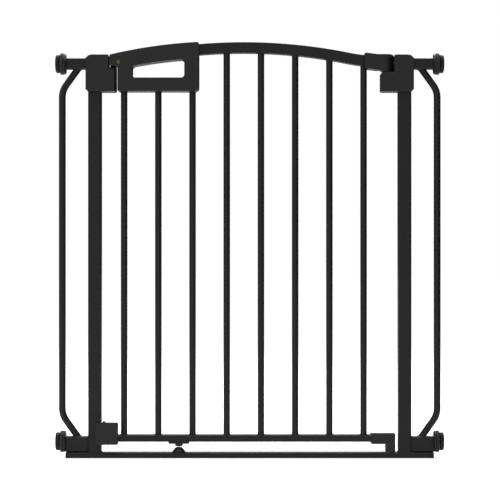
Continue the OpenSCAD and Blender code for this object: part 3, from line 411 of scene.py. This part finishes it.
frame_beads = bmesh.new()
for side in (-1, 1):
    inner = min(side * post_low.x, side * post_high.x)
    outer = max(side * post_low.x, side * post_high.x)
    low = Vector((inner, post_low.y, 0))
    high = Vector((outer, post_high.y, 0))
    foot = round_the_box(low, high, fixed=2, at=rail_high.z + bead_sink, corner=tube_corner)
    sweep(frame_beads, foot, bead_r, ripple=bead_ripple)
    for bottom, top in ((arm_low, arm_high), (top_arm_low, top_arm_high)):
        root_x = side * (post_high.x + bead_sink)
        root = round_the_box(bottom, top, fixed=0, at=root_x, corner=tube_corner)
        sweep(frame_beads, root, bead_r, ripple=bead_ripple)
    for z, up in ((arm_high.z, 1), (top_arm_low.z, -1)):
        rim = [
            point.co.x for point in nodes["side_bows"].data.vertices
            if abs(point.co.z - z) < 0.01 * MM and point.co.x * side > 0
        ]
        middle = (max(rim) + min(rim)) / 2
        wide = (max(rim) - min(rim)) / 2
        ring = ring_round(middle, wide, bow_r, z + up * bead_sink, 48)
        sweep(frame_beads, ring, bead_r, ripple=bead_ripple)
piece("frame_weld_beads", frame_beads, powder_coat, "frame", "powder_coated_steel")

# ---- The door's steel --------------------------------------------------------------------------
# A curved top rail and a straight bottom rail of square tube with eight round bars between them. The
# second bar stops in the handle's grip. It is welded up and powder coated as one with the frame's look.


def box_mm(node):
    """The lowest and the highest corner of a node's box, in mm."""
    low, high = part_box(node)
    return low / MM, high / MM


on_face = 0.02
arch_side = box_mm("arch_rail")[1].y
arch_seen_from, arch_seen_to = -242, 238.5
arch_shape = clean_copy("arch_rail")
ease(arch_shape, 1.6,
    lambda x, y, z: abs(abs(y) - arch_side) < on_face and arch_seen_from < x < arch_seen_to)
piece("top_rail", arch_shape, powder_coat, "door", "powder_coated_steel", "arch_rail")
carried("door_bottom_rail", powder_coat)
bar_names = [f"bar_{i}" for i in range(1, 9)]
for bar in bar_names:
    carried(bar, powder_coat)

bars_in_handle = bar_names[:3]
bar_in_knuckle = bar_names[-1]
cut_h = 4 * MM
bar_beads = bmesh.new()
for bar in bar_names:
    low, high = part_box(bar)
    middle = (low.x + high.x) / 2
    radius = (high.x - low.x) / 2
    sweep(bar_beads, ring_round(middle, radius, radius, low.z + bead_sink, 40), bead_r, ripple=bead_ripple)
    if bar in bars_in_handle or bar == bar_in_knuckle:
        continue
    top = [p.co for p in nodes[bar].data.vertices if p.co.z > high.z - cut_h]
    slope = (max(top, key=lambda p: p.x).z - min(top, key=lambda p: p.x).z) / (2 * radius)
    centre = (max(p.z for p in top) + min(p.z for p in top)) / 2
    head = ring_round(middle, radius, radius, centre - bead_sink, 40, slope)
    sweep(bar_beads, head, bead_r, ripple=bead_ripple)
piece("bar_weld_beads", bar_beads, powder_coat, "door", "powder_coated_steel")

# ---- Housings on the posts ---------------------------------------------------------------------
# A moulded housing round each post's top, the striker at the left and the hinge bracket at the right.
# Each is two shells of satin black plastic with soft front edges, screwed together from behind. The
# bushes in the arms' ends and the plugs in the floor rail are pressed in and of the same plastic.

black_plastic = surface_finish("black_plastic", (0.0098, 0.0098, 0.0103), (0.03, 0.03, 0.031), (0.4, 0.5),
    grain=1500, depth=0.006, cloud=14, specular=0.23, reach=0.4)


def square_up(shape, corner, old_r, new_r):
    """Gives a rounded corner of the front view a smaller radius. The corner is the point, in mm, where
    its two sides would meet, with the signs of x and z outwards."""
    x, z, to_x, to_z = corner
    old = (x - to_x * old_r, z - to_z * old_r)
    new = (x - to_x * new_r, z - to_z * new_r)
    for point in shape.verts:
        px, pz = point.co.x / MM, point.co.z / MM
        away = (px - old[0], pz - old[1])
        outside = away[0] * to_x >= -0.01 and away[1] * to_z >= -0.01
        if outside and abs(math.hypot(*away) - old_r) < 0.05:
            px = new[0] + away[0] * new_r / old_r
            pz = new[1] + away[1] * new_r / old_r
        point.co.x, point.co.z = px * MM, pz * MM


def shell(node, name, body, soft, hard=0.3, chosen=None, change=None):
    """A moulded half: soft outer edges, a fine chamfer along the parting line and the other edges."""
    low, high = box_mm(node)
    face = low.y if node.endswith("front") else high.y
    form = clean_copy(node)
    if change:
        change(form)
    ease(form, soft, lambda x, y, z: abs(y - face) < on_face and (chosen is None or chosen(x, z)), steps=4)
    ease(form, hard, steps=2)
    return piece(name, form, black_plastic, body, "black_plastic", node)


def off_screws(places, room=4):
    """Tells whether a spot is on the outline and not round a screw's hole."""
    def clear(x, z):
        return all(math.dist((x, z), place) > room for place in places)
    return clear


def screw_places(node):
    """Middles of a node's screws along Y, as (x, z) in mm, found from its heads."""
    one_head = 7
    places = []
    for point in nodes[node].data.vertices:
        spot = (point.co.x / MM, point.co.z / MM)
        near = [p for p in places if math.dist(p[0], spot) < one_head]
        if near:
            near[0].append(spot)
        else:
            places.append([spot])
    return [tuple((max(c) + min(c)) / 2 for c in zip(*spots)) for spots in places]


striker_at = screw_places("striker_screws")
bracket_at = screw_places("bracket_screws")
front_soft = 2.2
rear_soft = 1.6
shell("striker_front", "striker_front_shell", "frame", front_soft)
lip_out, lip_up = 0.5, 1.0
lip_l, lip_w = 14, 3.6
lip_corner, lip_corner_square = 3.5, 0.8
lip_edge = box_mm("striker_rear")[1].x
lip_top = max(p.co.z for p in nodes["striker_rear"].data.vertices if p.co.x / MM > lip_edge - lip_w) / MM


def close_lip(form):
    """The lip behind the nose has a square corner and shuts the light out of the gaps beside it."""
    square_up(form, (lip_edge, lip_top, 1, 1), lip_corner, lip_corner_square)
    for point in form.verts:
        if point.co.x / MM > lip_edge - lip_w:
            point.co.x += lip_out * MM
        along_top = abs(point.co.z / MM - lip_top) < 0.9
        if along_top and point.co.x / MM > lip_edge - lip_l:
            point.co.z += lip_up * MM


shell("striker_rear", "striker_rear_shell", "frame", rear_soft, chosen=off_screws(striker_at),
    change=close_lip)
shell("bracket_front", "bracket_front_shell", "frame", front_soft)
shell("bracket_rear", "bracket_rear_shell", "frame", rear_soft, chosen=off_screws(bracket_at))
for seat in ("arm_bushes", "floor_rail_plugs"):
    carried(seat, black_plastic)

# ---- Hinge -------------------------------------------------------------------------------------
# Two steel pins that the door turns on, a nylon washer under each knuckle, and a closing spring round
# the upper pin, inside the bracket.

zinc_steel = surface_finish("zinc_steel", (0.45, 0.45, 0.43), (0.62, 0.62, 0.6), (0.24, 0.4),
    grain=900, depth=0.004, cloud=40, metal=1.0)
white_nylon = surface_finish("white_nylon", (0.62, 0.6, 0.54), (0.7, 0.69, 0.64), (0.42, 0.52),
    grain=1100, depth=0.006)
for pin in ("upper_hinge_pin", "lower_hinge_pin", "spring_pin"):
    carried(pin, zinc_steel, eased=0.4)
carried("hinge_washers", white_nylon, eased=0.2)


def wound(name, node, axis, turns, wire, body):
    """A wound spring in place of its node, with a closed flat turn at each end."""
    end_turn = 0.75
    end_share = 0.06
    low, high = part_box(node)
    length = high[axis] - low[axis] - 2 * wire
    others = [a for a in range(3) if a != axis]
    centre = (low + high) / 2
    radius = (high[others[0]] - low[others[0]]) / 2 - wire
    line = []
    steps = 24
    whole = int((turns + 2 * end_turn) * steps)
    for i in range(whole + 1):
        turn = i / steps
        first = min(turn / end_turn, 1)
        inside = min(max((turn - end_turn) / turns, 0), 1)
        last = max(0, min((turn - turns - end_turn) / end_turn, 1))
        spot = Vector((0, 0, 0))
        spot[axis] = low[axis] + wire + length * (end_share * (first + last) + (1 - 2 * end_share) * inside)
        spot[others[0]] = centre[others[0]] + radius * math.cos(2 * math.pi * turn)
        spot[others[1]] = centre[others[1]] + radius * math.sin(2 * math.pi * turn)
        line.append(spot)
    coil = bmesh.new()
    sweep(coil, line, wire, sides=10, closed=False)
    return piece(name, coil, zinc_steel, body, "zinc_steel", node)


wound("closing_spring", "hinge_spring", axis=2, turns=6, wire=0.8 * MM, body="frame")

# ---- Knuckles ----------------------------------------------------------------------------------
# The upper knuckle is a plastic sleeve over the arch's end that turns on the pin; the lower one boxes in
# the end of the bottom rail and stands on the floor rail's pin. A plug closes the rail's free end.

fine_edge = 0.3
sleeve_end = 240
sleeve_side = box_mm("upper_hinge_piece")[1].y
knuckle = clean_copy("upper_hinge_piece")
ease(knuckle, 1.5,
    lambda x, y, z: abs(y + sleeve_side) < on_face or (abs(y - sleeve_side) < on_face and x < sleeve_end))
ease(knuckle, fine_edge, steps=2)
piece("upper_knuckle", knuckle, black_plastic, "door", "black_plastic", "upper_hinge_piece")
boxed_side = box_mm("lower_corner_piece")[1].y
boxed_end = clean_copy("lower_corner_piece")
ease(boxed_end, 1.2, lambda x, y, z: abs(abs(y) - boxed_side) < on_face)
ease(boxed_end, fine_edge, steps=2)
piece("lower_knuckle", boxed_end, black_plastic, "door", "black_plastic", "lower_corner_piece")
carried("rail_end_plug", black_plastic, eased=0.4)

# ---- Lower catch and floor stop ----------------------------------------------------------------
# At the left post a moulded catch takes the end of the bottom rail: a plate in front, a ribbed block
# screwed to the post, and a rubber pad that the rail comes to rest on. A low turned button on the floor
# rail and a nub under the door keep the door from lifting out of line.

black_rubber = surface_finish("black_rubber", (0.012, 0.012, 0.012), (0.03, 0.03, 0.03), (0.5, 0.62),
    grain=2400, depth=0.012, cloud=30, specular=0.12)
catch = clean_copy("lower_catch")
catch_face = box_mm("lower_catch")[0].y
catch_plate_t = 3
ease(catch, 1.0, lambda x, y, z: abs(y - catch_face) < on_face)
ease(catch, 0.4, lambda x, y, z: y > catch_face + catch_plate_t, steps=2)
piece("rail_catch", catch, black_plastic, "frame", "black_plastic", "lower_catch")
carried("catch_buffer", black_rubber, eased=0.8)
carried("floor_stop", black_plastic, eased=0.5)
carried("door_stop", black_plastic, eased=0.5)

# ---- Screws ------------------------------------------------------------------------------------
# Zinc-plated pan-head screws with a cross recess: two in each housing and four in the handle, all driven
# from behind, and two that fix the catch to the post.

shank_r = 1.5 * MM
head_r = 2.8 * MM
head_h = 2 * MM


def cross_head_screw(shape, tip, top):
    """A pan-head screw from its tip to the top of its head, with a tapered cross recess."""
    length = (top - tip).length
    arm, half, deep = 0.52 * head_r, 0.13 * head_r, 0.6 * head_h
    flat = 0.72 * head_r
    profile = [
        (0.05 * MM, 0), (shank_r * 0.55, 0.5 * MM), (shank_r, 2.2 * MM), (shank_r, length - head_h),
        (head_r - 0.15 * MM, length - head_h), (head_r, length - head_h + 0.15 * MM),
        (head_r, length - 0.45 * head_h), (head_r * 0.95, length - 0.22 * head_h),
        (head_r * 0.85, length - 0.07 * head_h), (flat, length),
    ]
    driven = Matrix.Translation(tip) @ (top - tip).to_track_quat("Z", "Y").to_matrix().to_4x4()
    rings = [
        [
            shape.verts.new(driven @ Vector((r * math.cos(a), r * math.sin(a), h)))
            for a in turn_angles(32)
        ]
        for r, h in profile
    ]
    shape.faces.new(rings[0][::-1])
    for ring, other in zip(rings, rings[1:]):
        skin(shape, ring, other)

    def cross(reach, wide, h):
        corners = [(reach, wide), (wide, wide), (wide, reach)]
        turns = [(1, 0), (0, 1), (-1, 0), (0, -1)]
        return [
            shape.verts.new(driven @ Vector((x * c - y * s, x * s + y * c, h)))
            for c, s in turns for x, y in corners
        ]

    mouth = cross(arm, half, length)
    floor = cross(arm * 0.7, half * 0.8, length - deep)
    whole = [[v.co for v in rings[-1]], [v.co for v in mouth]]
    rim = rings[-1] + mouth
    for three in tessellate_polygon([[driven.inverted() @ p for p in loop] for loop in whole]):
        shape.faces.new([rim[i] for i in three])
    skin(shape, mouth, floor)
    shape.faces.new(floor)
    bmesh.ops.recalc_face_normals(shape, faces=shape.faces)


def screw_set(name, node, places, body):
    """Screws along Y in place of their node, with their heads at the rear."""
    low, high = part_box(node)
    made = bmesh.new()
    for x, z in places:
        cross_head_screw(made, Vector((x * MM, low.y, z * MM)), Vector((x * MM, high.y, z * MM)))
    piece(name, made, zinc_steel, body, "zinc_steel", node, smooth=30)


screw_set("striker_screw_set", "striker_screws", striker_at, "frame")
screw_set("bracket_screw_set", "bracket_screws", bracket_at, "frame")
catch_set = bmesh.new()
low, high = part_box("catch_screws")
for z in (low.z + head_r, high.z - head_r):
    cross_head_screw(catch_set, Vector((low.x, 0, z)), Vector((high.x, 0, z)))
piece("catch_screw_set", catch_set, zinc_steel, "frame", "zinc_steel", "catch_screws", smooth=30)

# ---- Handle ------------------------------------------------------------------------------------
# Two shells of satin black plastic clipped over the arch and the first three bars, with a hand hole
# and a nose that meets the striker. Their outer edges are well rounded. Four screws hold them together.

handle_at = screw_places("handle_screws")
nose_end = box_mm("handle_front")[0].x
window_low, window_high = box_mm("indicator_window")
window_middle = ((window_low.x + window_high.x) / 2, (window_low.z + window_high.z) / 2)
shell("handle_front", "handle_front_shell", "door", front_soft, chosen=off_screws([window_middle], room=6))
nose_corner, nose_corner_square = 5, 1
nose_tip = [p.co.z for p in nodes["handle_rear"].data.vertices if p.co.x / MM < nose_end + 0.05]
nose_low = min(nose_tip) / MM - nose_corner


def square_nose(form):
    """Behind the parting line the nose's lower corner is square, which shuts out the light."""
    square_up(form, (nose_end, nose_low, -1, -1), nose_corner, nose_corner_square)


shell("handle_rear", "handle_rear_shell", "door", front_soft, chosen=off_screws(handle_at),
    change=square_nose)
screw_set("handle_screw_set", "handle_screws", handle_at, "door")

# ---- Lock indicator ----------------------------------------------------------------------------
# A small clear window in the nose, with a green or a red flag behind it that shows whether the gate is
# shut.
# The plunger of the flag runs through the nose to the striker; out of the nose, in the gap there, it is
# painted black as shade.

clear_plastic = surface_finish("clear_plastic", (0.25, 0.27, 0.25), (0.3, 0.32, 0.3), (0.08, 0.14),
    grain=600, depth=0.002)
clear_plastic.node_tree.nodes["Principled BSDF"].inputs["Alpha"].default_value = 0.04
green_plastic = surface_finish("green_plastic", (0.13, 0.3, 0.01), (0.16, 0.34, 0.03), (0.4, 0.5),
    grain=1500, depth=0.006)
# Painted shade: the flag's plunger out of the nose, in the gap by the striker, is coloured black.
flag_painted_shade_tree = green_plastic.node_tree
across = shader_node(flag_painted_shade_tree, "SeparateXYZ", Vector=shader_node(flag_painted_shade_tree, "TexCoord").outputs["Object"])
inside_nose = shader_node(flag_painted_shade_tree, "MapRange", Value=across.outputs["X"])
inside_nose.inputs["From Min"].default_value = nose_end * MM
inside_nose.inputs["From Max"].default_value = (nose_end + 0.3) * MM
green_shader = flag_painted_shade_tree.nodes["Principled BSDF"]
tip = shader_node(flag_painted_shade_tree, "MixRGB", Fac=inside_nose.outputs[0], Color1=(0.012, 0.012, 0.012, 1),
    Color2=green_shader.inputs["Base Color"].links[0].from_socket)
flag_painted_shade_tree.links.new(tip.outputs["Color"], green_shader.inputs["Base Color"])
red_plastic = surface_finish("red_plastic", (0.43, 0.017, 0.018), (0.5, 0.05, 0.05), (0.4, 0.5),
    grain=1500, depth=0.006)
carried("indicator_window", clear_plastic, eased=0.2)
carried("flag_green", green_plastic, eased=0.15)
carried("flag_red", red_plastic, eased=0.15)

# ---- Latch -------------------------------------------------------------------------------------
# A flat steel bolt inside the arch's end, pushed out by a spring, and the plastic slide on top that
# the thumb draws back. The slide has a row of low ridges for grip.

bolt = clean_copy("latch_bolt")
ease(bolt, 0.6)
piece("bolt", bolt, zinc_steel, "latch", "zinc_steel", "latch_bolt")
wound("bolt_spring", "latch_spring", axis=0, turns=7, wire=0.4 * MM, body="door")
slide_low, slide_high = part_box("thumb_slide")
slide_foot_h = 8
slide = clean_copy("thumb_slide")
ease(slide, 0.7, lambda x, y, z: z > slide_low.z / MM + slide_foot_h)
piece("slide", slide, black_plastic, "latch", "black_plastic", "thumb_slide")

ridge_r = 0.7 * MM
ridge_step = 3 * MM
ridge_count = 6
ridge_sink = 0.15 * MM
ridge_margin = 1.6 * MM
slide_corners = [p.co for p in nodes["thumb_slide"].data.vertices]
top_end = max(slide_corners, key=lambda p: p.z)
top_start = max([p for p in slide_corners if p.x < slide_low.x + 1.5 * MM], key=lambda p: p.z)
slope = (top_end.z - top_start.z) / (top_end.x - top_start.x)
slide_middle = (slide_low.x + slide_high.x) / 2
half_width = (slide_high.y - slide_low.y) / 2 - ridge_margin
ridges = bmesh.new()
for i in range(ridge_count):
    x = slide_middle + (i - (ridge_count - 1) / 2) * ridge_step
    z = top_start.z + slope * (x - top_start.x) - ridge_sink
    sweep(ridges, [Vector((x, y, z)) for y in (-half_width, half_width)], ridge_r, sides=12, closed=False)
piece("slide_ridges", ridges, black_plastic, "latch", "black_plastic")

# ---- Wall spindles -----------------------------------------------------------------------------
# At each corner a threaded steel spindle in a bush in the arm, a fluted plastic nut that winds it out,
# and a round rubber pad that grips the wall.


def turned(shape, profile, place, side, sides, depth=0.0, flutes=0):
    """Turns a closed profile of (x, radius, flute share) about the X axis, with scallops in its rim."""
    rings = []
    for x, radius, share in profile:
        ring = []
        for a in turn_angles(sides):
            cut = depth * share * (0.5 + 0.5 * math.cos(flutes * a)) ** 2 if flutes else 0
            r = radius - cut
            ring.append(shape.verts.new(place + Vector((side * x, r * math.cos(a), r * math.sin(a)))))
        rings.append(ring)
    for ring, other in zip(rings, rings[1:] + rings[:1]):
        skin(shape, ring, other)
    bmesh.ops.recalc_face_normals(shape, faces=shape.faces)


def rounded(corners, steps=5):
    """A closed outline from corners of (x, radius, rounding, flute share), with arcs at its corners."""
    points = []
    count = len(corners)
    for i, (x, r, rounding, share) in enumerate(corners):
        here = Vector((x, r))
        if not rounding:
            points.append((x, r, share))
            continue
        back = (Vector(corners[i - 1][:2]) - here).normalized()
        on = (Vector(corners[(i + 1) % count][:2]) - here).normalized()
        half = back.angle(on) / 2
        centre = here + (back + on).normalized() * rounding / math.sin(half)
        start = here + back * rounding / math.tan(half) - centre
        end = here + on * rounding / math.tan(half) - centre
        swing = start.angle_signed(end)
        for k in range(steps + 1):
            a = -swing * k / steps
            spot = centre + Vector((start.x * math.cos(a) - start.y * math.sin(a),
                start.x * math.sin(a) + start.y * math.cos(a)))
            points.append((spot.x, spot.y, share))
    return points


def span_from_middle(node):
    """How far from the gate's middle a turned piece begins and ends, and its radius, in mm."""
    low, high = box_mm(node)
    return min(abs(low.x), abs(high.x)), max(abs(low.x), abs(high.x)), (high.z - low.z) / 2


def wall_nut(corner, place, side):
    """The nut: a wide fluted rim, and behind a groove a plain rounded collar towards the arm."""
    inner, outer, rim = span_from_middle(f"{corner}_nut")
    bore = 5.15
    collar = rim - 0.6
    groove = inner + 3.8
    groove_end = groove + 0.9
    groove_floor = collar - 1.6
    dish, dish_rim, dish_floor = outer - 1, rim - 6, rim - 7.4
    flute_depth, flutes = 0.75 * MM, 30
    profile = rounded([
        (inner, bore, 0, 0), (inner, collar, 2.8, 0),
        (groove, collar, 0.4, 0), (groove, groove_floor, 0.2, 0), (groove_end, groove_floor, 0.2, 0),
        (groove_end, rim, 0.8, 1), (outer, rim, 2.4, 1), (outer, dish_rim, 1.2, 0),
        (dish, dish_floor, 0.6, 0), (dish, bore, 0.3, 0),
    ])
    nut = bmesh.new()
    sized = [(x * MM, r * MM, share) for x, r, share in profile]
    turned(nut, sized, place, side, sides=8 * flutes, depth=flute_depth, flutes=flutes)
    piece(f"{corner}_wall_nut", nut, black_plastic, f"{corner}_nut", "black_plastic", f"{corner}_nut")


def wall_pad(corner, place, side):
    """The pad: soft rounded rubber with three rings moulded into the face that meets the wall."""
    inner, outer, rim = span_from_middle(f"{corner}_pad")
    bore, middle = 5.02, 0.01
    web = outer - 2
    ring_floor = outer - 0.8
    corners = [(inner, bore, 0, 0), (inner, rim - 0.4, 0.8, 0), (inner + 2.2, rim, 1.5, 0),
        (outer, rim, 3.5, 0)]
    for ring in (12, 9, 6):
        corners += [(outer, ring + 0.8, 0.3, 0), (ring_floor, ring + 0.5, 0.2, 0),
            (ring_floor, ring - 0.5, 0.2, 0), (outer, ring - 0.8, 0.3, 0)]
    corners += [(outer, middle, 0, 0), (web, middle, 0, 0), (web, bore, 0, 0)]
    pad = bmesh.new()
    sized = [(x * MM, r * MM, share) for x, r, share in rounded(corners, steps=3)]
    turned(pad, sized, place, side, sides=72)
    piece(f"{corner}_wall_pad", pad, black_rubber, f"{corner}_spindle", "black_rubber", f"{corner}_pad")


def wall_spindle(corner, place, side):
    """The spindle: a right-hand thread of 3 mm pitch, plain and tapered at its inner end."""
    flange_t = 2.4
    inner, outer = span_from_middle(f"{corner}_spindle")[:2]
    outer -= flange_t
    crest, root, pitch = 5.0, 4.25, 3.0
    taper_l, taper = 1.5, 0.2
    rings = []
    spindle = bmesh.new()
    steps = int((outer - inner) / (pitch / 10))
    for i in range(steps + 1):
        x = inner + (outer - inner) * i / steps
        end = min(1, (x - inner) / taper_l)
        ring = []
        for a in turn_angles(32):
            phase = (side * x / pitch - a / (2 * math.pi)) % 1
            ridge = min(1, max(0, 2.2 * (1 - abs(2 * phase - 1)) - 0.6))
            r = (root + (crest - root) * ridge) * (1 - taper + taper * end)
            ring.append(spindle.verts.new(place + Vector((side * x, r * math.cos(a), r * math.sin(a)))))
        rings.append(ring)
    spindle.faces.new(rings[0])
    for ring, other in zip(rings, rings[1:]):
        skin(spindle, ring, other)
    spindle.faces.new(rings[-1])
    for vert in spindle.verts:
        vert.co = place + (vert.co - place) * MM
    bmesh.ops.recalc_face_normals(spindle, faces=spindle.faces)
    piece(f"{corner}_threaded_spindle", spindle, zinc_steel, f"{corner}_spindle", "zinc_steel",
        f"{corner}_spindle", smooth=50)


for corner in ("upper_left", "upper_right", "lower_left", "lower_right"):
    low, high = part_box(f"{corner}_nut")
    middle = Vector((0, 0, (low.z + high.z) / 2))
    out = 1 if corner.endswith("right") else -1
    wall_nut(corner, middle, out)
    wall_pad(corner, middle, out)
    wall_spindle(corner, middle, out)
